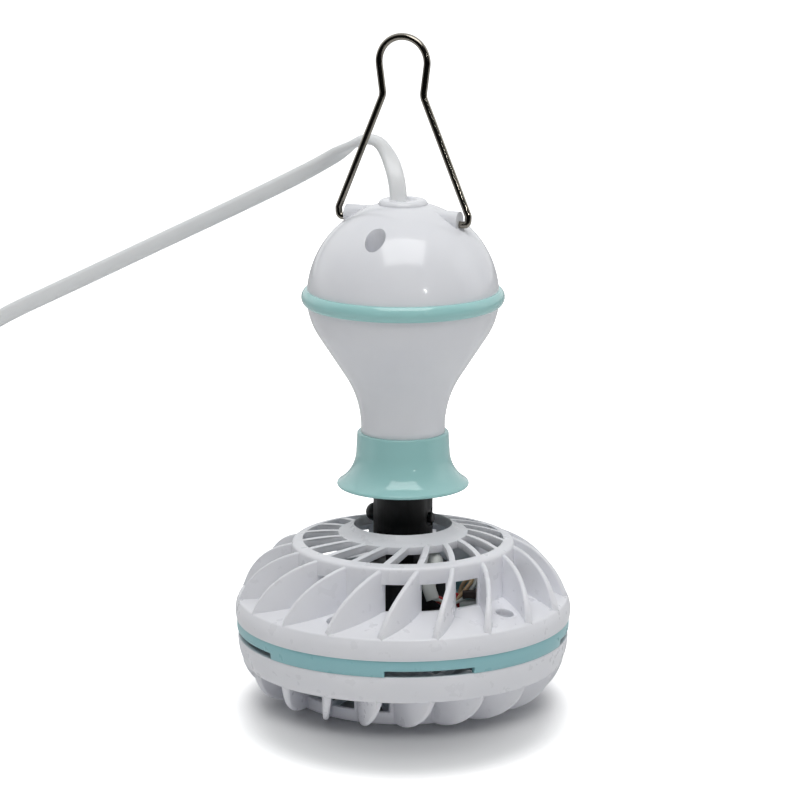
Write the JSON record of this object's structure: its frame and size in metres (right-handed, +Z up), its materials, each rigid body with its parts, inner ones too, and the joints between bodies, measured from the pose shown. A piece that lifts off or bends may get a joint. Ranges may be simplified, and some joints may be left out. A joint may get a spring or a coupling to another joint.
{
  "type": "portable camping fan",
  "caption": "Small hanging fan: bulb-shaped housing with a wire bail, mains lead and swing motor, over a tilting drum cage with swirled fins and a spinning impeller.",
  "frame": {"origin": "on the floor under the centre of the cage, which is also the axis of the bulb and the swivel", "axes": "+Z up, X along the bail's hinge line, -Y the front with the visible screw well"},
  "size_m": [0.3637, 0.135, 0.2475],
  "materials": {
    "white_abs": "gloss",
    "teal_abs": "gloss",
    "black_plastic": "satin",
    "black_metal": "satin",
    "iron_core": "matte",
    "zinc_steel": "satin",
    "bronze": "satin",
    "bush_acetal": "matte",
    "nickel_wire": "polished",
    "cord_pvc": "matte",
    "brass": "polished",
    "wire_red": "satin"
  },
  "bodies": {
    "housing": {"bulb_shell": "white_abs", "upper_dome": "white_abs", "trim_ring": "teal_abs", "flared_collar": "teal_abs", "neck_bush": "bush_acetal", "gland_ring": "white_abs", "joint_screws": "zinc_steel", "swing_motor": "zinc_steel", "swing_screws": "zinc_steel", "cord_tail": "cord_pvc", "cord_clamp": "white_abs", "clamp_screws": "zinc_steel", "cord_lead": "cord_pvc", "cord_coil": "cord_pvc", "plug_body": "cord_pvc", "plug_pins": "brass"},
    "bail": {"bail_wire": "nickel_wire"},
    "swivel": {"drop_tube": "black_plastic", "pivot_screw": "black_metal", "pivot_nut": "black_metal", "swing_coupling": "black_plastic", "cross_pin": "zinc_steel", "swing_shaft": "zinc_steel"},
    "fan_head": {"upper_grille": "white_abs", "middle_ring": "teal_abs", "lower_grille": "white_abs", "grille_screws": "zinc_steel", "motor_base": "black_metal", "motor_can": "black_metal", "motor_stator": "iron_core", "motor_bushes": "bronze", "motor_screws": "zinc_steel", "motor_bracket": "black_plastic", "bracket_screws": "zinc_steel", "lead_wires": "wire_red"},
    "rotor": {"motor_shaft": "zinc_steel", "motor_magnet": "iron_core", "impeller": "white_abs", "impeller_nut": "white_abs"}
  },
  "joints": [
    {"name": "bail_hinge", "type": "hinge", "parent": "housing", "child": "bail", "pos_m": [0, 0, 0.179], "axis": [1, 0, 0], "range_deg": [-12, 90]},
    {"name": "swivel_turn", "type": "hinge", "parent": "housing", "child": "swivel", "pos_m": [0, 0, 0.1], "axis": [0, 0, 1], "range_deg": [-165, 165]},
    {"name": "head_tilt", "type": "hinge", "parent": "swivel", "child": "fan_head", "pos_m": [0, 0, 0.0684], "axis": [1, 0, 0], "range_deg": [-35, 35]},
    {"name": "rotor_spin", "type": "hinge", "parent": "fan_head", "child": "rotor", "pos_m": [0, 0, 0.018], "axis": [0, 0, 1], "continuous": true}
  ]
}
